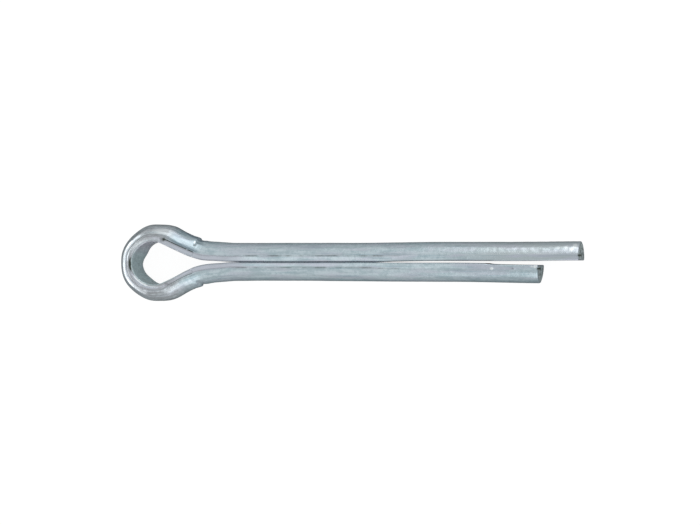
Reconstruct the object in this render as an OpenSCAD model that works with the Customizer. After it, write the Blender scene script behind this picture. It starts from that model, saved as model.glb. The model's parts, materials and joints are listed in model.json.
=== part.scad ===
// Cotter pin (split pin) of half-round steel wire, lying on its side.
// The wire is folded into an eye and its two legs lie flat against each other.
// Millimetres. X runs along the shank from the eye to the tips, Y across the legs,
// Z is up. The origin is on the shank's axis, where the two legs come together.

/* [Shank] */
// Diameter of the closed shank, across both legs
shank_d = 3.6; // [3.4:0.1:4.5]
// Depth by which each side of the round wire is pressed flat
side_flat = 0.09; // [0.04:0.01:0.2]
// Gap between the inner faces of the two legs where they lie closed
seam_gap = 0.06; // [0.04:0.01:0.2]

/* [Legs] */
// Length of the long leg, from the origin to the middle of its end
long_leg = 35.3; // [30:0.1:45]
// Length of the short leg, from the origin to the middle of its end
short_leg = 31.4; // [26:0.1:40]
// Length over which the seam stays closed, before it starts to open
closed_l = 18.8; // [10:0.1:24]
// Angle by which the seam opens on each side towards the tips
seam_angle = 0.3; // [0.1:0.1:1]

/* [Leg ends] */
// Slant of the sheared ends, with the upper side longer
end_slant = 6; // [0:0.5:15]
// Slant of the short leg's end in plan, with its outer side shorter
end_skew = 6; // [0:0.5:15]

/* [Eye] */
// Inner radius of the eye
eye_r = 2; // [1.5:0.1:2.3]
// Thickness of the wire in the eye, from its inner face to its crown
eye_t = 1.62; // [1.5:0.01:1.66]
// Distance along the shank from the origin to the centre of the eye
eye_reach = 5.8; // [5.5:0.1:8]
// Distance by which the eye is set off towards the short leg
eye_offset = 0.1; // [0:0.01:0.3]

/* [Neck] */
// Radius of the inner face where each leg turns out towards the eye
neck_r = 4.9; // [4.2:0.1:5.8]
// Height by which the bulged wire of the neck stands proud of the shank
neck_bulge = 0.03; // [0.02:0.01:0.1]
// Thickness of the wire in the straight flanks between the neck and the eye
flank_t = 1.73; // [1.68:0.01:1.76]

/* [Hidden] */
$fn = 96;
crown_r = shank_d / 2;
neck_t = crown_r - seam_gap / 2 + neck_bulge;
wire_w = shank_d - 2 * side_flat;
// Small step between faces that would otherwise touch without crossing
ease = 0.01;
// Depth of wire drawn below the inner face, which the gap then cuts away
under = 0.3;
// Length by which each leg runs on into its neck, and each flank into its neck and the eye
lap = 0.3;
// Angle by which the eye runs on inside each flank
run_on = 15;
// Height of the gap's prism and size of the blocks that trim the ends
clear = 2 * shank_d;

// Height of a neck's centre above the shank's axis, and its distance from the centre
// of an eye that is set off to the other side
neck_y = seam_gap / 2 + ease + neck_r;
function span(off) = norm([eye_reach, neck_y + off]);
// Angle of a flank to the shank: it touches the eye below it and the neck above it
function flank_angle(off) = atan2(eye_reach, neck_y + off) - acos((neck_r + eye_r) / span(off));
// Length of a flank between the two points where it touches
function flank_length(off) = sqrt(pow(span(off), 2) - pow(neck_r + eye_r, 2));
// Ends of a flank's inner face, at the eye and at the neck
function eye_point(off) = let (a = flank_angle(off), r = eye_r - ease)
    [-eye_reach + r * sin(a), -off + r * cos(a)];
function neck_point(off) = let (a = flank_angle(off), r = neck_r + ease)
    [-r * sin(a), neck_y - r * cos(a)];
function mirrored(p) = [p.x, -p.y];

// Section of the wire: a crown of the shank's radius that reaches x = t, between two
// side flats. Its inner face is at x = 0, and it may run on below that
module section(t, below) {
    intersection() {
        translate([t - crown_r, 0])
            circle(r = crown_r);
        translate([-below, -wire_w / 2])
            square([t + below, wire_w]);
    }
}

// One leg, begun inside its neck, with a sheared end that is skewed in plan
module leg(length, skew) {
    difference() {
        translate([-lap, 0])
            rotate([90, 0, 90])
                linear_extrude(height = lap + length + clear / 2)
                    section(crown_r, 0);
        translate([length, crown_r / 2])
            rotate([0, end_slant, skew])
                translate([0, -clear / 2, -clear / 2])
                    cube(clear);
    }
}

// Neck and flank of one leg, for an eye set off by the given distance
module neck(off) {
    angle = flank_angle(off);
    translate([0, neck_y])
        rotate([0, 0, -90 - angle])
            rotate_extrude(angle = angle)
                translate([neck_r, 0])
                    mirror([1, 0])
                        section(neck_t, 2 * under);
    translate(eye_point(off))
        rotate([90, 0, 90 - angle])
            translate([0, 0, -lap])
                linear_extrude(height = flank_length(off) + 2 * lap)
                    section(flank_t, under);
}

// Eye, bent over from one flank to the other and a little way on inside both
module eye() {
    from = 90 - flank_angle(eye_offset) - run_on;
    to = 270 + flank_angle(-eye_offset) + run_on;
    translate([-eye_reach, -eye_offset])
        rotate([0, 0, from])
            rotate_extrude(angle = to - from)
                translate([eye_r, 0])
                    section(eye_t, eye_r / 2);
}

// Hole through the eye
module eye_hole() {
    translate([-eye_reach, -eye_offset])
        cylinder(h = clear, r = eye_r, center = true);
}

// Gap between the two flanks, tapering to the necks
module throat() {
    linear_extrude(height = clear, center = true)
        difference() {
            polygon([
                eye_point(eye_offset),
                neck_point(eye_offset),
                [-under / 2, seam_gap / 2 + under],
                [-under / 2, -seam_gap / 2 - under],
                mirrored(neck_point(-eye_offset)),
                mirrored(eye_point(-eye_offset)),
            ]);
            for (side = [-1, 1])
                translate([0, side * neck_y])
                    circle(r = neck_r);
        }
}

// Seam between the legs: closed at first, then opening towards the tips
module seam() {
    end_x = long_leg + clear;
    end_y = seam_gap / 2 + (end_x - closed_l) * tan(seam_angle);
    linear_extrude(height = clear, center = true)
        polygon([
            [-under, seam_gap / 2],
            [closed_l, seam_gap / 2],
            [end_x, end_y],
            [end_x, -end_y],
            [closed_l, -seam_gap / 2],
            [-under, -seam_gap / 2],
        ]);
}

module cotter_pin() {
    color("lightsteelblue")
        difference() {
            union() {
                eye();
                neck(eye_offset);
                leg(long_leg, 0);
                mirror([0, 1]) {
                    neck(-eye_offset);
                    leg(short_leg, end_skew);
                }
            }
            eye_hole();
            throat();
            seam();
        }
}

cotter_pin();
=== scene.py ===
import json
import math

import bmesh
import bpy
from mathutils import Matrix, Vector, noise


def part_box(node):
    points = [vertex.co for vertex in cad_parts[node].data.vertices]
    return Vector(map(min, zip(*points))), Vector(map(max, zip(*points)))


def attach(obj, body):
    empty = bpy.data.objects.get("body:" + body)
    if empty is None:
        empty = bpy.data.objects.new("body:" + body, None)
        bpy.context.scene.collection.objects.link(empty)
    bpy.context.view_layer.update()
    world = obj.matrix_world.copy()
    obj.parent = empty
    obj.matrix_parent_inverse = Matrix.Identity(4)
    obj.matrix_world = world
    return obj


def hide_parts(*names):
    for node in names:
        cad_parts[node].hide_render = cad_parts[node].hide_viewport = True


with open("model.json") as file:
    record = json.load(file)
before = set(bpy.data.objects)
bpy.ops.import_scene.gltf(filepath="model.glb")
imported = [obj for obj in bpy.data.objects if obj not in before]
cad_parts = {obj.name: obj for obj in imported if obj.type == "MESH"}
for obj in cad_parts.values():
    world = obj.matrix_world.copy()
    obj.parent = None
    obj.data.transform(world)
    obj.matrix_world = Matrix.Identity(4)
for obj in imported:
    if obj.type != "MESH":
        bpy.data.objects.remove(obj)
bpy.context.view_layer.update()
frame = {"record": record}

mm = 0.001
tiny = 1e-7                                          # metres: what lies closer than this touches
up = Vector((0, 0, 1))
mounts = {mount["name"]: mount for mount in frame["record"]["mounts"]}
pinLow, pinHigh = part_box("cotter_pin")
print("frame loaded")

# camera: a long lens, leaning from straight above towards the tips
cameraView = {
    "lens": 355.6,
    "distance": 643 * mm,
    "lean": math.radians(17.3),
    "target": Vector((13.0, -0.05, 0)) * mm,
}


def makeCamera():
    data = bpy.data.cameras.new("camera")
    data.sensor_width = 36
    data.lens = cameraView["lens"]
    data.clip_start = 0.05
    data.clip_end = 20
    camera = bpy.data.objects.new("camera", data)
    lean = cameraView["lean"]
    back = Vector((math.sin(lean), 0, math.cos(lean)))
    camera.location = cameraView["target"] + back * cameraView["distance"]
    camera.rotation_euler = (0, lean, 0)
    bpy.context.collection.objects.link(camera)
    bpy.context.scene.camera = camera


makeCamera()
print("camera set")

# the wire's half-round section
wire = {
    "crown": mounts["shank"]["dims"]["r_mm"] * mm,   # radius of the round side
    "halfWidth": pinHigh.z,                          # from the middle to a side flat
    "thick": 1.77 * mm,                              # from the inner face to the crown, in the legs
    "innerEdge": (0.16 * mm, 6),                     # rounding of the two inner edges, and its segments
    "sideEdge": (0.1 * mm, 4),                       # and the same where a side flat meets the crown
    "facets": 104,                                   # of the full circle it is trimmed from
    "facet": 0.1 * mm,                               # spacing of vertices on the flats
    "weld": 0.02 * mm,                               # vertices that are closer become one
}
# the fold, in plan
fold = {
    "seam": 0.02 * mm,                               # gap between the closed legs
    "eye": Vector(mounts["eye"]["pos_m"]),
    "eyeRadius": 2.0 * mm,
    "neckRadius": 4.9 * mm,
    "longLeg": 35.3 * mm,
    "shortLeg": 31.4 * mm,
    "step": 0.14 * mm,                               # between rings on the legs
    "bendStep": 0.07 * mm,                           # between rings in the eye, flanks and necks
    "legEdge": 5 * mm,                               # only a leg's uncut edges are longer than this
    "flankEdge": 0.5 * mm,                           # and a flank's longer than this
}
# the sheared ends
ends = {
    "slant": math.tan(math.radians(6)),              # upper side longer
    "skew": math.tan(math.radians(3)),               # the short leg's outer side shorter
    "rim": 0.08 * mm,                                # rounding of the rim
    "rings": 7,                                      # rings of faces on each sheared face
    "innermost": 0.4,                                # size of the innermost ring, in steps between rings
    "corners": 20,                                   # only a sheared face has more corners than this
}


def trimSection(bm):
    # a disc cut down to the wire: inner face along y = 0, crown towards +y, side flats at x = +-halfWidth
    centre = Vector((0, wire["thick"] - wire["crown"], 0))
    bmesh.ops.create_circle(bm, cap_ends=True, segments=wire["facets"], radius=wire["crown"],
                            matrix=Matrix.Translation(centre))
    half = wire["halfWidth"]
    for point, outwards in (((0, 0, 0), (0, -1, 0)), ((half, 0, 0), (1, 0, 0)), ((-half, 0, 0), (-1, 0, 0))):
        bmesh.ops.bisect_plane(bm, geom=bm.verts[:] + bm.edges[:] + bm.faces[:], dist=1e-9,
                               plane_co=point, plane_no=outwards, clear_outer=True)
    bmesh.ops.remove_doubles(bm, verts=bm.verts, dist=wire["weld"])
    corners = [vert for vert in bm.verts if abs(abs(vert.co.x) - half) < tiny]
    inner = [vert for vert in corners if vert.co.y < tiny]
    outer = [vert for vert in corners if vert.co.y > tiny]
    for group, (size, segments) in ((inner, wire["innerEdge"]), (outer, wire["sideEdge"])):
        bmesh.ops.bevel(bm, geom=group, offset=size, offset_type="OFFSET", segments=segments,
                        profile=0.5, affect="VERTICES", material=-1)
    for edge in bm.edges[:]:
        cuts = round(edge.calc_length() / wire["facet"]) - 1
        if cuts > 0:
            bmesh.ops.subdivide_edges(bm, edges=[edge], cuts=cuts)


class Sweep:
    # carries the section's ring along the fold, and notes on each vertex where it lies on the wire
    def __init__(self, bm, start, heading):
        self.bm = bm
        self.along, self.heading, self.height, self.width, self.sheared = (
            bm.verts.layers.float.new(name) for name in ("along", "heading", "height", "width", "sheared"))
        for vert in bm.verts:
            vert[self.height] = vert.co.y
            vert[self.width] = vert.co.x
            vert[self.heading] = heading
        self.ring = bm.edges[:] + bm.verts[:]
        self.travelled = 0
        self.turned = heading
        # section x turns up, and section y to the left of the heading
        ahead = self.ahead()
        turn = Matrix((up, up.cross(ahead), ahead)).transposed().to_4x4()
        bmesh.ops.transform(bm, matrix=Matrix.Translation(start) @ turn, verts=bm.verts)

    def ahead(self):
        return Vector((math.cos(self.turned), math.sin(self.turned), 0))

    def carry(self, steps, length, turn, centre, shift):
        for _ in range(steps):
            spun = bmesh.ops.spin(self.bm, geom=self.ring, cent=centre, axis=up, dvec=shift / steps,
                                  angle=turn / steps, steps=1, use_merge=False, use_duplicate=False)
            self.ring = spun["geom_last"]
            self.travelled += length / steps
            self.turned += turn / steps
            for vert in self.ringVerts():
                vert[self.along] = self.travelled
                vert[self.heading] = self.turned

    def ringVerts(self):
        return [part for part in self.ring if isinstance(part, bmesh.types.BMVert)]

    def ringEdges(self):
        return [part for part in self.ring if isinstance(part, bmesh.types.BMEdge)]

    def straight(self, length):
        self.carry(1, length, 0, (0, 0, 0), self.ahead() * length)

    def bend(self, centre, radius, turn):
        length = radius * abs(turn)
        self.carry(round(length / fold["bendStep"]), length, turn, centre, Vector())


def flankOf(side):
    # angle and length of the straight flank that touches both the eye and a neck
    reach = -fold["eye"].x
    rise = fold["seam"] / 2 + fold["neckRadius"] - side * fold["eye"].y
    radii = fold["neckRadius"] + fold["eyeRadius"]
    span = math.hypot(reach, rise)
    return math.atan2(reach, rise) - math.acos(radii / span), math.sqrt(span ** 2 - radii ** 2)


def shearRing(verts, skew):
    # slants a leg's last ring, so that the leg ends in a sheared face
    for vert in verts:
        vert.co.x += ends["slant"] * vert.co.z - skew * (abs(vert.co.y) - wire["thick"] / 2)


def sweepPin(bm):
    trimSection(bm)
    neckRise = fold["seam"] / 2 + fold["neckRadius"]
    lowerAngle, lowerLength = flankOf(-1)
    upperAngle, upperLength = flankOf(1)
    sweep = Sweep(bm, Vector((fold["shortLeg"], -fold["seam"] / 2, 0)), math.pi)
    shearRing(sweep.ringVerts(), ends["skew"])
    sweep.straight(fold["shortLeg"])
    for vert in sweep.ringVerts():
        vert.co.x = 0
    marks = {"shortNeck": sweep.travelled}
    sweep.bend((0, -neckRise, 0), fold["neckRadius"], lowerAngle)
    sweep.straight(lowerLength)
    marks["apex"] = sweep.travelled + fold["eyeRadius"] * (math.pi / 2 + lowerAngle)
    sweep.bend(fold["eye"], fold["eyeRadius"], -(math.pi + lowerAngle + upperAngle))
    sweep.straight(upperLength)
    sweep.bend((0, neckRise, 0), fold["neckRadius"], upperAngle)
    marks["longNeck"] = sweep.travelled
    sweep.straight(fold["longLeg"])
    shearRing(sweep.ringVerts(), 0)
    bmesh.ops.contextual_create(bm, geom=sweep.ringEdges())
    return sweep, marks


def cutRings(bm, sweep):
    # the straight runs are single long faces until here
    for shortest, step in ((fold["legEdge"], fold["step"]), (fold["flankEdge"], fold["bendStep"])):
        runs = {}
        for edge in bm.edges:
            length = abs(edge.verts[0][sweep.along] - edge.verts[1][sweep.along])
            if length > shortest:
                runs.setdefault(round(length / step), []).append(edge)
        for count, edges in runs.items():
            bmesh.ops.subdivide_edges(bm, edges=edges, cuts=count - 1, use_grid_fill=True)


def shearedFaces(bm):
    return [face for face in bm.faces if len(face.verts) > ends["corners"]]


def finishEnds(bm, sweep):
    # rounds each sheared rim and gives the face inside it rings of its own
    rims = [edge for cap in shearedFaces(bm) for edge in cap.edges]
    bmesh.ops.bevel(bm, geom=rims, offset=ends["rim"], offset_type="OFFSET", segments=2, profile=0.5,
                    affect="EDGES", material=-1)
    for cap in shearedFaces(bm):
        centre = cap.calc_center_median()
        ring = cap.edges[:]
        bmesh.ops.delete(bm, geom=[cap], context="FACES_ONLY")
        for left in range(ends["rings"], 0, -1):
            made = bmesh.ops.extrude_edge_only(bm, edges=ring)["geom"]
            ring = [part for part in made if isinstance(part, bmesh.types.BMEdge)
                    and all(vert in made for vert in part.verts)]
            verts = list({vert for edge in ring for vert in edge.verts})
            shrink = (left - 1 + ends["innermost"]) / (left + ends["innermost"])
            bmesh.ops.scale(bm, vec=(shrink, shrink, shrink), space=Matrix.Translation(-centre), verts=verts)
            for vert in verts:
                vert[sweep.sheared] = 1
        last = bmesh.ops.contextual_create(bm, geom=ring)["faces"]
        bmesh.ops.poke(bm, faces=last)


# marks left by bending, pressing and shearing. Stations run along the wire in mm from the neck's leg end,
# minus towards the eye, and each has its offset in mm, outwards from the wire's inner face
marksOnWire = {
    "long": {
        "crown": ((-9.3, -0.15), (-8.7, -0.11), (-7.5, -0.20), (-6.6, -0.11), (-6.0, -0.15), (-5.1, 0.05),
                  (-4.0, -0.03), (-2.8, -0.03), (-1.0, 0.03), (0.0, 0.01), (1.5, 0)),
        "inner": ((-9.3, 0.1), (-8.5, 0.06), (-7.6, 0.01), (-6.5, 0), (-5.2, -0.03), (-4.0, -0.05),
                  (-2.6, -0.05), (-1.9, 0), (0.5, 0), (2.5, -0.02), (14, -0.02), (17, 0)),
        "shift": ((-2.6, 0), (-1.1, 0.05), (-0.2, 0.1), (0.6, 0.07), (1.9, 0)),
        "bulge": (-8.35, 0.19),                      # of the inner face's lower edge, in the eye
        "step": -2.5,                                # the bending tool's edge across the shoulder
        "grooveFrom": -5.3,                          # groove between side flat and crown
        "grooveTo": -2.2,
    },
    "short": {
        "crown": ((-9.3, -0.15), (-8.5, -0.11), (-7.5, -0.21), (-6.7, -0.18), (-6.1, -0.21), (-5.2, -0.02),
                  (-3.8, -0.05), (-2.8, -0.01), (-1.1, -0.02), (1.0, -0.02), (4.0, -0.055), (9.5, -0.055),
                  (14.0, -0.01)),
        "inner": ((-9.3, 0.1), (-8.5, 0.06), (-7.6, 0.01), (-6.5, 0), (-5.2, 0.05), (-4.0, 0.09),
                  (-2.9, 0.07), (-1.5, 0), (0.5, 0), (2.5, 0.03), (14, 0.03), (17, 0), (26.2, 0),
                  (26.7, 0.06), (31.5, 0.06)),
        "shift": ((-3.2, 0), (-2.2, 0.08), (-1.2, 0.16), (-0.3, 0.16), (0.6, 0.1), (2.0, 0)),
        "bulge": (-7.65, 0.11),
        "step": -2.48,
        "grooveFrom": -4.9,
        "grooveTo": -2.3,
    },
    # a pair of numbers is where a mark fades in or out: heights above the inner face, or stations
    "crownFrom": (0.3, 1.1),                         # heights
    "innerTo": (0.2, 0.5),
    "wobble": 0.012,                                 # unevenness of the legs' crown
    "wobbleFrom": (0, 3),
    "wobbleLength": 3,
    "bulgeLength": 0.7,
    "bulgeTo": (0.1, 0.5),                           # height, and how far the bulge is to the lower side
    "bulgeBelow": (-1, 1.6),
    # the tool's step shows on the outer part of the crown: a low rise, a short drop, and a slow way back
    "stepUp": 0.05,
    "stepDown": -0.09,
    "stepRise": (-0.7, -0.1),
    "stepDrop": (-0.02, 0.12),
    "stepBack": (0.2, 0.9),
    "stepFrom": (1.25, 1.6),
    "sideFrom": (1.2, 1.6),                          # from the middle, where the side flats begin
    "press": 0.035,                                  # depth of the pressed side flats beside a groove
    "pressTo": (0.48, 0.54),
    "groove": 0.055,
    "grooveHeight": 0.5,
    "grooveWidth": 0.055,
    "grooveFade": 0.25,
    "legGroove": 0.02,                               # the same groove, fainter, on along the closed legs
    "legGrooveAlong": (-1.8, 15, 1.5),               # from and to, and its fade
    "eyeFrom": (6.0, 7.2),                           # stations towards the eye, where the flats begin
    "facets": ((56, 13), (29, 13)),                  # flats along the crown in the eye: angle and half width
    "grain": 0.005,                                  # height of the plating's grain, more at the long tip
    "grainFrom": (0.5, 0.8),
    "tipGrain": 0.006,
    "tipFrom": (20, 32),
    "shearGrain": 0.03,                              # roughness of the sheared faces
    "pitSlope": 0.7,                                 # share of a pit's depth inwards, and again downwards
    "pitReach": 3,                                   # radii within which a pit still shows
    # pits, dots and painted highlights: on the long leg or not, station, height, radius, depth, and how
    # dark, or below 0 how bright a painted highlight (glint) it is
    "pitsAndGlints": ((True, -2.38, 1.22, 0.11, 0.10, 0.5), (True, -2.5, 1.38, 0.09, 0.03, -0.7),
             (True, -5.25, 0.47, 0.17, 0.05, 0.8), (False, -4.95, 0.42, 0.13, 0.04, 0.4),
             (True, 24.7, 0.34, 0.10, 0.03, 0.35), (False, 29.05, 0.44, 0.15, 0.04, 0.45),
             (True, 34.9, 1.3, 0.27, 0, -0.6), (True, 34.6, 1.0, 0.25, 0, -0.5),
             (True, 34.1, 1.2, 0.28, 0, -0.4), (True, 33.4, 1.15, 0.2, 0, -0.35),
             (False, 31.15, 0.16, 0.17, 0, -0.8), (False, 30.8, 0.15, 0.14, 0, -0.45),
             (False, 27.02, 0.46, 0.14, 0.03, -1), (False, 31.42, 0.42, 0.13, 0.05, 0.8),
             (True, 35.35, 0.5, 0.13, 0.04, 0.8), (False, 20.6, 0.50, 0.12, 0.03, 0.3)),
}
# how far the legs stand apart from the closed seam: stations from the neck, and offsets, in mm
spring = {
    "long": ((14.7, 0), (20.5, 0.075), (29.0, 0.08), (35.5, 0.125)),
    "short": ((0.5, 0), (3.0, 0.03), (14.2, 0.03), (19.0, 0.06), (24.5, 0.08), (29.5, 0.17), (31.5, 0.2)),
    "lean": 0.026,                                   # of the seam, where the legs lie closed
    "leanFrom": (0.8, 2.4),
    "leanTo": (14.2, 17.5),
}


def smooth(value, low, high):
    share = min(max((value - low) / (high - low), 0), 1)
    return share * share * (3 - 2 * share)


def within(value, low, high, fade):
    return smooth(value, low - fade, low) * (1 - smooth(value, high, high + fade))


def profile(stations, value):
    # a smooth curve through a few stations, level outside them
    if value <= stations[0][0]:
        return stations[0][1]
    if value >= stations[-1][0]:
        return stations[-1][1]
    index = max(place for place in range(len(stations) - 1) if stations[place][0] <= value)
    low, high = stations[index], stations[index + 1]
    before, after = stations[max(index - 1, 0)], stations[min(index + 2, len(stations) - 1)]
    width = high[0] - low[0]
    leave = (high[1] - before[1]) / (high[0] - before[0]) if index else 0
    arrive = (after[1] - low[1]) / (after[0] - low[0]) if index + 2 < len(stations) else 0
    share = (value - low[0]) / width
    return (low[1] * (1 - share) ** 2 * (1 + 2 * share) + high[1] * share ** 2 * (3 - 2 * share)
            + width * share * (1 - share) * (leave * (1 - share) - arrive * share))


def bump(distance, radius):
    return math.exp(-(distance / radius) ** 2)


def fromCentre(height):
    # height above the centre of the crown's round, in mm
    return height + (wire["crown"] - wire["thick"]) / mm


def crownFacets(height, width):
    # how far a point of the crown lies inside the round, on one of the eye's long flats
    crown = wire["crown"] / mm
    angle = math.degrees(math.atan2(abs(width), fromCentre(height)))
    for middle, half in marksOnWire["facets"]:
        if abs(angle - middle) < half:
            return crown * (1 - math.cos(math.radians(half)) / math.cos(math.radians(angle - middle)))
    return 0


def markSection(leg, station, height, width, onLong):
    # where a point of the section moves to, outwards and upwards, in mm
    marks = marksOnWire
    outwards = profile(leg["shift"], station)
    wobble = marks["wobble"] * noise.noise((station / marks["wobbleLength"], 4 * onLong, 0))
    wobble *= smooth(station, *marks["wobbleFrom"])
    outwards += (profile(leg["crown"], station) + wobble) * smooth(height, *marks["crownFrom"])
    outwards += profile(leg["inner"], station) * (1 - smooth(height, *marks["innerTo"]))
    middle, size = leg["bulge"]
    bulged = bump(station - middle, marks["bulgeLength"]) * (1 - smooth(height, *marks["bulgeTo"]))
    outwards -= size * bulged * smooth(-width, *marks["bulgeBelow"])
    step = station - leg["step"]
    dropped = smooth(step, *marks["stepDrop"])
    edge = marks["stepUp"] * smooth(step, *marks["stepRise"]) * (1 - dropped)
    edge += marks["stepDown"] * dropped * (1 - smooth(step, *marks["stepBack"]))
    outwards += edge * smooth(height, *marks["stepFrom"])
    onSide = math.copysign(smooth(abs(width), *marks["sideFrom"]), width)
    pressed = within(station, leg["grooveFrom"], leg["grooveTo"], marks["grooveFade"])
    rise = -marks["press"] * pressed * onSide * (1 - smooth(height, *marks["pressTo"]))
    groove = marks["groove"] * pressed + marks["legGroove"] * within(station, *marks["legGrooveAlong"])
    rise -= groove * onSide * bump(height - marks["grooveHeight"], marks["grooveWidth"])
    # the plating's grain stands on the crown, and the flats in the eye are sunk in it
    grain = marks["grain"] + marks["tipGrain"] * onLong * smooth(station, *marks["tipFrom"])
    grain *= noise.noise((station * 2.3, height * 3, width * 3)) * smooth(height, *marks["grainFrom"])
    inEye = smooth(-station, *marks["eyeFrom"])
    if inEye and height > marks["grooveHeight"]:
        grain -= inEye * crownFacets(height, width)
    outwards += grain * fromCentre(height) * mm / wire["crown"]
    rise += grain * width * mm / wire["crown"]
    stainAndPaintedLight = 0
    for pitOnLong, pitStation, pitHeight, radius, depth, dark in marks["pitsAndGlints"]:
        if pitOnLong == onLong and width > 0 and abs(station - pitStation) < marks["pitReach"] * radius:
            share = bump(math.hypot(station - pitStation, height - pitHeight), radius)
            outwards -= marks["pitSlope"] * depth * share
            rise -= marks["pitSlope"] * depth * share
            stainAndPaintedLight = dark * share if abs(dark * share) > abs(stainAndPaintedLight) else stainAndPaintedLight
    return outwards, rise, stainAndPaintedLight


# stains, painted shade and painted highlights. Each has how dark or bright it is, up to 1, and its places in
# mm: "along" is from, to and fade along the wire, "height" is above the inner face, and "radius" is how far
# it spreads
marksAndPaintedLight = {
    "topFrom": (1.2, 1.6),                           # from the middle, where the upper side begins
    # at the inside of the bend, with the bend's apex as its origin
    # a dark speckled patch on the upper side flat beside the inner edge, at the bend's apex
    "apexSpecks": {"apex": -0.12, "radius": 0.62, "height": (0.1, 0.27, 0.07), "specks": (0.1, 0.5)},
    "halo": {"dark": 0.3, "apex": -0.1, "radius": 0.9, "height": (0.2, 0.45, 0.12)},
    # painted shade: dark lines along the wire in the grooves, in the creases of the closed legs, and at the
    # seam's open edges
    "groove": {"long": 0.72, "short": 0.5, "height": 0.5, "radius": 0.06},
    "crease": {"long": 0.29, "short": 0.3, "along": (-1.2, 17.5, 2), "height": 0.53, "radius": 0.1},
    "dashes": {"dark": 0.17, "along": (2.5, 17.5, 1), "noise": (-0.3, 0.3)},
    "seam": {"long": 0.42, "short": 0.2, "along": (17.5, 26.8, 1), "height": 0.06, "radius": 0.07},
    # where the tool bit the lower shoulder, with the tool's step as its origin
    "bite": {"dark": 0.03, "ribbed": 0.12, "along": (-0.6, 0.7, 0.4), "height": (0.9, 1.35),
             "noise": (0.35, 0.65)},
    # painted highlights: bright lines on the edges of the eye's bore, and a line round the eye's outer side
    # beside a scratch
    "boreLong": {"bright": 0.3, "along": (-7.7, -7.1, 0.4), "height": 0.27, "radius": 0.1},
    "boreShort": {"bright": 0.55, "along": (-8.1, -6.9, 0.4), "height": 0.18, "radius": 0.08},
    "ring": {"bright": 0.45, "along": (-1.3, 1.2, 0.7), "height": 1.24, "radius": 0.12},
    "scratch": {"dark": 0.22, "height": 1.04, "radius": 0.07},
    "ringFrom": (0.3, 0.6),                          # from the middle towards the upper side
    "leastPaintedBright": 0.1,                                 # a fainter painted highlight gives way to the dark marks
}


def lineAt(mark, height):
    return bump(height - mark["height"], mark["radius"])


def markAndLightSection(side, station, height, width, fromApex):
    # how dark a point of the section is from stains and painted shade, or how bright below 0 from painted
    # highlights
    leg, onLong = marksOnWire[side], side == "long"
    onTop = smooth(width, *marksAndPaintedLight["topFrom"])
    apexSpecks, halo, groove, crease = (marksAndPaintedLight[name] for name in ("apexSpecks", "halo", "groove", "crease"))
    specks = smooth(0.5 + 0.5 * noise.noise((station * 2.5, height * 7, 3)), *apexSpecks["specks"])
    dark = [specks * bump(fromApex - apexSpecks["apex"], apexSpecks["radius"]) * within(height, *apexSpecks["height"]) * onTop]
    ringed = bump(fromApex - halo["apex"], halo["radius"]) * within(height, *halo["height"])
    dark.append(halo["dark"] * ringed * onTop)
    # painted shade lines in the grooves, the creases of the closed legs and at the seam
    pressed = within(station, leg["grooveFrom"], leg["grooveTo"], marksOnWire["grooveFade"])
    dark.append(groove[side] * pressed * lineAt(groove, height) * onTop)
    dashes, seam = marksAndPaintedLight["dashes"], marksAndPaintedLight["seam"]
    dashed = smooth(noise.noise((station * 0.9, 5 * onLong, 7)), *dashes["noise"])
    creased = crease[side] * within(station, *crease["along"])
    creased += dashes["dark"] * dashed * within(station, *dashes["along"])
    dark.append(creased * lineAt(crease, height) * onTop)
    dark.append(seam[side] * within(station, *seam["along"]) * lineAt(seam, height) * onTop)
    if not onLong:
        bite = marksAndPaintedLight["bite"]
        ribs = smooth(0.5 + 0.5 * noise.noise((station * 8, height * 1.5, 5)), *bite["noise"])
        bitten = within(station - leg["step"], *bite["along"]) * smooth(height, *bite["height"])
        dark.append((bite["dark"] + bite["ribbed"] * ribs) * bitten)
    # painted highlights on the bore's edges and round the eye's outer side, beside a real dark scratch
    bore, ring = marksAndPaintedLight["boreLong" if onLong else "boreShort"], marksAndPaintedLight["ring"]
    paintedBright = bore["bright"] * within(station, *bore["along"]) * lineAt(bore, height) * onTop
    around = within(fromApex, *ring["along"]) * smooth(width, *marksAndPaintedLight["ringFrom"])
    paintedBright = max(paintedBright, ring["bright"] * around * lineAt(ring, height))
    dark.append(marksAndPaintedLight["scratch"]["dark"] * around * lineAt(marksAndPaintedLight["scratch"], height))
    return -paintedBright if paintedBright > marksAndPaintedLight["leastPaintedBright"] else max(dark)


def shapeWire(bm, sweep, marks):
    place = bm.verts.layers.float_vector.new("wirePlace")
    stainAndPaintedLight = bm.verts.layers.float.new("stainAndPaintedLight")
    for vert in bm.verts:
        along = vert[sweep.along]
        onLong = along > marks["apex"]
        side = "long" if onLong else "short"
        station = (along - marks["longNeck"] if onLong else marks["shortNeck"] - along) / mm
        fromApex = (along - marks["apex"]) / mm
        height, width = vert[sweep.height] / mm, vert[sweep.width] / mm
        if vert[sweep.sheared]:
            height, width = abs(vert.co.y) / mm, vert.co.z / mm
            rough = noise.noise((height * 4, width * 2, 9 * onLong))
            rough += noise.noise((height * 9, width * 5, onLong))
            vert.co.x += marksOnWire["shearGrain"] * rough * mm
        vert[place] = (fromApex, height, width)
        outwards, rise, dark = markSection(marksOnWire[side], station, height, width, onLong)
        if dark >= 0:
            mark = markAndLightSection(side, station, height, width, fromApex)
            dark = mark if mark < 0 else max(dark, mark)
        vert[stainAndPaintedLight] = dark
        ahead = vert[sweep.heading]
        vert.co += Vector((-math.sin(ahead), math.cos(ahead), 0)) * outwards * mm
        vert.co.z += rise * mm
        apart = profile(spring[side], station) * mm
        vert.co.y += apart if onLong else -apart
        closed = smooth(station, *spring["leanFrom"]) * (1 - smooth(station, *spring["leanTo"]))
        vert.co.y += spring["lean"] * closed * vert.co.z


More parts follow.
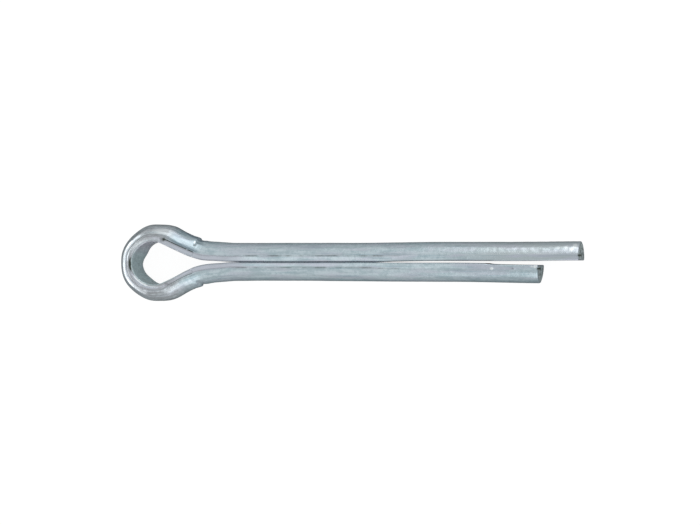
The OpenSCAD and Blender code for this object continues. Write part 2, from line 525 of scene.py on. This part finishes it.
def makePin():
    bm = bmesh.new()
    sweep, marks = sweepPin(bm)
    cutRings(bm, sweep)
    finishEnds(bm, sweep)
    shapeWire(bm, sweep, marks)
    bmesh.ops.recalc_face_normals(bm, faces=bm.faces)
    for face in bm.faces:
        face.smooth = True
    print("pin has", len(bm.verts), "vertices,", sum(len(face.verts) - 2 for face in bm.faces), "triangles")
    mesh = bpy.data.meshes.new("cotterPin")
    bm.to_mesh(mesh)
    bm.free()
    piece = bpy.data.objects.new("cotterPin", mesh)
    bpy.context.collection.objects.link(piece)
    return piece


pin = makePin()
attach(pin, "root")
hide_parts("cotter_pin")


class Socket:
    # a node's output: arithmetic on it adds Math nodes
    def __init__(self, nodes, output):
        self.nodes = nodes
        self.output = output

    def maths(self, operation, first, second=0.0):
        return self.nodes.add("ShaderNodeMath", {"operation": operation}, {0: first, 1: second})

    def __add__(self, other):
        return self.maths("ADD", self, other)

    def __sub__(self, other):
        return self.maths("SUBTRACT", self, other)

    def __rsub__(self, other):
        return self.maths("SUBTRACT", other, self)

    def __mul__(self, other):
        return self.maths("MULTIPLY", self, other)

    def __abs__(self):
        return self.maths("ABSOLUTE", self)

    __radd__ = __add__
    __rmul__ = __mul__


class Nodes:
    def __init__(self, owner):
        owner.use_nodes = True
        self.tree = owner.node_tree
        self.tree.nodes.clear()

    def add(self, kind, settings=None, values=None, output=0):
        node = self.tree.nodes.new(kind)
        for name, value in (settings or {}).items():
            setattr(node, name, value)
        for name, value in (values or {}).items():
            if isinstance(value, Socket):
                self.tree.links.new(value.output, node.inputs[name])
            else:
                node.inputs[name].default_value = value
        return Socket(self, node.outputs[output]) if node.outputs else node

    def mix(self, factor, first, second, blend="MIX"):
        return self.add("ShaderNodeMix", {"data_type": "RGBA", "blend_type": blend},
                        {0: factor, 6: first, 7: second}, output=2)

    def stretch(self, vector, scale, shift=(0, 0, 0)):
        return self.add("ShaderNodeMapping", {}, {"Vector": vector, "Scale": scale, "Location": shift})

    def noise(self, vector, scale, detail=2.0, roughness=0.5):
        return self.add("ShaderNodeTexNoise", {},
                        {"Vector": vector, "Scale": scale, "Detail": detail, "Roughness": roughness})

    def ramp(self, value, low, high):
        # 0 below low and 1 above high, with soft shoulders; it falls where low is above high
        return self.add("ShaderNodeMapRange", {"interpolation_type": "SMOOTHSTEP"},
                        {"Value": value, "From Min": low, "From Max": high})

    def span(self, value, low, full, last, high):
        # rises from 0 at low to 1 at full, and falls again from last to 0 at high
        return self.ramp(value, low, full) * self.ramp(value, high, last)


def colour(red, green, blue):
    return (red, green, blue, 1)


zinc = {
    "bright": colour(0.685, 0.805, 0.86),
    "dull": colour(0.53, 0.655, 0.705),
    "mauve": colour(0.65, 0.69, 0.785),
    "neck": colour(0.50, 0.53, 0.595),
    "tip": colour(0.60, 0.68, 0.71),
    "eye": colour(0.70, 0.735, 0.765),
    "streak": colour(0.36, 0.38, 0.40),
    "shade": colour(0.52, 0.57, 0.60),
    # painted highlight: the colour of glints and of a bright patch on the upper flank
    "paintedHighlight": colour(0.90, 0.97, 1.0),
    "inside": colour(0.83, 1.0, 1.0),
    "insideMauve": colour(0.93, 0.90, 1.0),
    "sheared": colour(0.20, 0.25, 0.25),
    "shearedLight": colour(0.58, 0.67, 0.68),
    # dark colour of stains, pits and painted shade lines
    "stainAndPaintedLight": colour(0.06, 0.075, 0.06),
    "roughness": 0.22,
    "edgeTint": colour(0.42, 0.45, 0.46),
    "bump": 0.01 * mm,
}
# where the finish changes, and where painted shade and painted highlights lie. Places along the wire are in
# mm from the bend's apex, above 0 on the long leg
zones = {
    "eye": (-6.5, -4.5, 3.5, 5.5),                   # begins, in full, still in full, ends
    "upperShoulder": (3.8, 5.4, 7.0, 8.2),
    "lowerShoulder": (-8.4, -7.4, -5.8, -4.4),
    "neck": (2.5, 4.5, 10.5, 14),                    # on both legs
    "tip": (29, 40),                                 # begins, in full
    # painted shade: on the side flats towards the long tip, and on the short leg's tip
    "tipFlat": (26, 34),
    "shortTip": (-28, -38),
    "mauve": (0.2, 2.2),                             # of the inner wall
    "inside": (0.12, 0.04),                          # heights of the wire at which its inner wall begins
    "flat": (0.56, 0.5),                             # and its side flat
    "paintedBright": (2.8, 3.6, 3.8, 4.7),                  # painted highlight at the start of the upper flank, along the wire
    "paintedBrightHeight": (0.8, 1.0, 1.3, 1.5),
    "paintedBrightWidth": (0, 0.4),
}


def makeZinc():
    material = bpy.data.materials.new("zincPlate")
    nodes = Nodes(material)
    place = nodes.add("ShaderNodeAttribute", {"attribute_name": "wirePlace"}, output="Vector")
    sheared = nodes.add("ShaderNodeAttribute", {"attribute_name": "sheared"}, output="Fac")
    stainAndPaintedLight = nodes.add("ShaderNodeAttribute", {"attribute_name": "stainAndPaintedLight"}, output="Fac")
    along, height, width = (
        nodes.add("ShaderNodeSeparateXYZ", {}, {0: place}, output=axis) for axis in "XYZ")
    blotch = nodes.noise(nodes.stretch(place, (0.7, 1.3, 1.3)), 1.0, 3)
    tint = nodes.noise(nodes.stretch(place, (0.3, 1.6, 1.6), (7, 0, 0)), 1.0, 2)
    streaks = nodes.noise(nodes.stretch(place, (0.4, 3.2, 3.2), (3, 2.3, 0)), 1.0, 3)
    lines = nodes.noise(nodes.stretch(place, (0.25, 7, 7)), 1.0, 3)
    ribs = nodes.noise(nodes.stretch(place, (3.2, 0.6, 0.6)), 1.0, 2)
    grain = nodes.noise(place, 3.2, 3, 0.6)
    fine = nodes.noise(place, 8, 3, 0.6)
    furrows = nodes.noise(nodes.stretch(place, (0.6, 4.5, 4.5), (0, 5, 0)), 1.0, 2)
    eye = nodes.span(along, *zones["eye"])
    inside = nodes.ramp(height, *zones["inside"]) * (0.3 + 0.6 * eye)
    flat = nodes.ramp(height, *zones["flat"])
    neck = nodes.span(abs(along), *zones["neck"]) * flat
    upperShoulder = nodes.span(along, *zones["upperShoulder"]) * (1 - flat)
    lowerShoulder = nodes.span(along, *zones["lowerShoulder"]) * (1 - flat)
    # mottled plating, duller at the tip, in the eye and on the flats
    mottle = 0.3 * blotch + 0.35 * grain + 0.35 * streaks
    skin = nodes.mix(nodes.ramp(mottle, 0.42, 0.58), zinc["bright"], zinc["dull"])
    skin = nodes.mix(nodes.ramp(along, *zones["tip"]), skin, zinc["tip"])
    skin = nodes.mix(0.6 * eye, skin, zinc["eye"])
    skin = nodes.mix(nodes.ramp(tint, 0.42, 0.62) * (0.5 + 0.3 * flat), skin, zinc["mauve"])
    skin = nodes.mix(nodes.ramp(lines, 0.5, 0.7) * 0.4, skin, zinc["dull"], "MULTIPLY")
    skin = nodes.mix(0.75 * neck, skin, zinc["neck"])
    # the bend has stretched the plating into streaks; painted shade dims the upper shoulder, the tool's ribs
    # darken the lower shoulder, and painted shade darkens the flats towards the long tip and the short leg's
    # tip
    skin = nodes.mix(nodes.ramp(streaks, 0.53, 0.66) * (0.1 + 0.5 * eye), skin, zinc["streak"])
    skin = nodes.mix(nodes.ramp(furrows, 0.5, 0.64) * 0.65 * eye, skin, zinc["streak"])
    skin = nodes.mix(nodes.ramp(grain, 0.48, 0.58) * 0.35 * eye, skin, zinc["streak"])
    skin = nodes.mix(nodes.ramp(fine, 0.48, 0.6) * 0.4 * eye, skin, zinc["streak"])
    # painted shade over the upper shoulder's highlight, broken by streaks
    shade = upperShoulder * (0.3 + 0.6 * nodes.ramp(streaks, 0.4, 0.6))
    skin = nodes.mix(shade, skin, zinc["shade"], "MULTIPLY")
    skin = nodes.mix(lowerShoulder * nodes.ramp(ribs, 0.44, 0.6) * 0.34, skin, zinc["shade"], "MULTIPLY")
    # painted shade: the side flats darker towards the long tip, and the short leg darker towards its tip
    skin = nodes.mix(flat * nodes.ramp(along, *zones["tipFlat"]) * 0.3, skin, zinc["shade"], "MULTIPLY")
    skin = nodes.mix(nodes.ramp(along, *zones["shortTip"]) * 0.26, skin, zinc["shade"], "MULTIPLY")
    # the inner wall
    hollow = nodes.mix(nodes.ramp(along, *zones["mauve"]), zinc["inside"], zinc["insideMauve"])
    # painted shade: the inner wall darker towards its upper side
    hollow = nodes.mix(nodes.ramp(width, -0.6, 1.7) * 0.4, hollow, zinc["shade"], "MULTIPLY")
    hollow = nodes.mix(nodes.ramp(grain, 0.46, 0.56) * 0.4, hollow, zinc["shade"], "MULTIPLY")
    hollow = nodes.mix(nodes.ramp(fine, 0.47, 0.57) * 0.3, hollow, zinc["shade"], "MULTIPLY")
    skin = nodes.mix(inside, skin, hollow)
    # painted highlight: a bright streaky patch at the start of the upper flank
    paintedBright = nodes.span(along, *zones["paintedBright"]) * nodes.span(height, *zones["paintedBrightHeight"])
    paintedBright = paintedBright * nodes.ramp(width, *zones["paintedBrightWidth"])
    skin = nodes.mix(paintedBright * (0.35 + 0.6 * nodes.ramp(streaks, 0.56, 0.44)), skin, zinc["paintedHighlight"])
    # the sheared faces, and over all the stains, the painted shade lines and the painted highlights
    cut = nodes.mix(nodes.ramp(0.3 * fine + 0.7 * grain, 0.44, 0.56), zinc["sheared"], zinc["shearedLight"])
    skin = nodes.mix(sheared, skin, cut)
    # stains, dark pits and painted shade lines
    dark = nodes.ramp(stainAndPaintedLight + 0.35 * (fine - 0.5) * nodes.ramp(stainAndPaintedLight, 0.02, 0.3), 0.1, 0.75)
    skin = nodes.mix(dark, skin, zinc["stainAndPaintedLight"])
    # painted highlights (glints) where the attribute is below 0
    skin = nodes.mix(nodes.ramp(stainAndPaintedLight, -0.1, -0.5), skin, zinc["paintedHighlight"])
    metallic = 1 - 0.75 * inside - 0.4 * sheared
    roughness = zinc["roughness"] + 0.05 * upperShoulder + 0.14 * (blotch - 0.5) + 0.1 * (lines - 0.5)
    roughness = roughness + 0.25 * sheared + 0.3 * dark + 0.16 * paintedBright
    lift = lines * 0.6 + streaks * (0.6 + 1.4 * eye) + grain * 0.9 + fine * (0.35 + 1.5 * sheared)
    relief = nodes.add("ShaderNodeBump", {}, {"Strength": 1.0, "Distance": zinc["bump"], "Height": lift})
    shader = nodes.add("ShaderNodeBsdfPrincipled", {}, {
        "Base Color": skin, "Metallic": metallic, "Roughness": roughness, "Specular Tint": zinc["edgeTint"],
        "Normal": relief})
    nodes.add("ShaderNodeOutputMaterial", {}, {"Surface": shader})
    return material


pin.data.materials.append(makeZinc())
print("zinc plate made")

# floor, lamps and world
studio = {
    "floorSize": 1.5,
    "floorColour": colour(0.66, 0.66, 0.66),
    "floorGlow": 1.18,
    "cameraShare": 0.8,                              # of the glow in what the camera sees of the floor
    "glossyShare": 0.06,                             # and in what the pin mirrors of it
    "world": 0.82,                                   # brightness of the world, which the camera sees as 1
    "lamps": (
        # name, two opposite corners in mm from the pin's origin, and brightness
        ("key", (-8, 130, 0), (110, 130, 122), 0.75),
        ("side", (-240, -200, 0), (-240, 200, 110), 1.52),
        ("sideEnd", (-240, -330, 0), (-240, -200, 110), 0.9),
        ("fill", (-8, -130, 0), (110, -130, 122), 0.52),
        ("top", (-150, -60, 220), (-50, 60, 220), 0.25),
    ),
}


def makeFloor():
    bm = bmesh.new()
    bmesh.ops.create_grid(bm, x_segments=1, y_segments=1, size=studio["floorSize"])
    bmesh.ops.translate(bm, vec=(0, 0, pinLow.z), verts=bm.verts)
    mesh = bpy.data.meshes.new("floor")
    bm.to_mesh(mesh)
    bm.free()
    floor = bpy.data.objects.new("floor", mesh)
    bpy.context.collection.objects.link(floor)
    material = bpy.data.materials.new("paleFloor")
    nodes = Nodes(material)
    lit = nodes.add("ShaderNodeBsdfDiffuse", {}, {"Color": studio["floorColour"]})
    seen, through, mirrored = (
        nodes.add("ShaderNodeLightPath", output=ray)
        for ray in ("Is Camera Ray", "Is Transmission Ray", "Is Glossy Ray"))
    share = studio["cameraShare"] * (seen + through) + studio["glossyShare"] * mirrored
    glow = nodes.add("ShaderNodeEmission", {}, {"Strength": studio["floorGlow"]})
    both = nodes.add("ShaderNodeMixShader", {}, {0: share, 1: lit, 2: glow})
    nodes.add("ShaderNodeOutputMaterial", {}, {"Surface": both})
    mesh.materials.append(material)


def makeLamps():
    # each lamp is a panel between two corners, upright if their x or y agree, facing the pin
    for name, corner, opposite, brightness in studio["lamps"]:
        corner, opposite = Vector(corner) * mm, Vector(opposite) * mm
        span = opposite - corner
        facing = -Vector([1 if abs(side) < tiny else 0 for side in span])
        middle = (corner + opposite) / 2
        facing *= math.copysign(1, facing.dot(-middle))
        width, depth = [abs(side) for side in span if abs(side) > tiny]
        data = bpy.data.lights.new(name, "AREA")
        data.shape = "RECTANGLE"
        data.size, data.size_y = width, depth
        data.energy = math.pi * width * depth * brightness
        lamp = bpy.data.objects.new(name, data)
        lamp.location = middle
        lamp.rotation_euler = (-facing).to_track_quat("Z", "Y").to_euler()
        lamp.visible_camera = False
        bpy.context.collection.objects.link(lamp)


def makeWorld():
    world = bpy.data.worlds.new("studio")
    nodes = Nodes(world)
    seen = nodes.add("ShaderNodeLightPath", output="Is Camera Ray")
    strength = studio["world"] + (1 - studio["world"]) * seen
    shade = nodes.add("ShaderNodeBackground", {}, {"Strength": strength})
    nodes.add("ShaderNodeOutputWorld", {}, {"Surface": shade})
    bpy.context.scene.world = world


makeFloor()
makeLamps()
makeWorld()
bpy.context.scene.view_settings.view_transform = "Standard"
print("floor, lamps and world set")
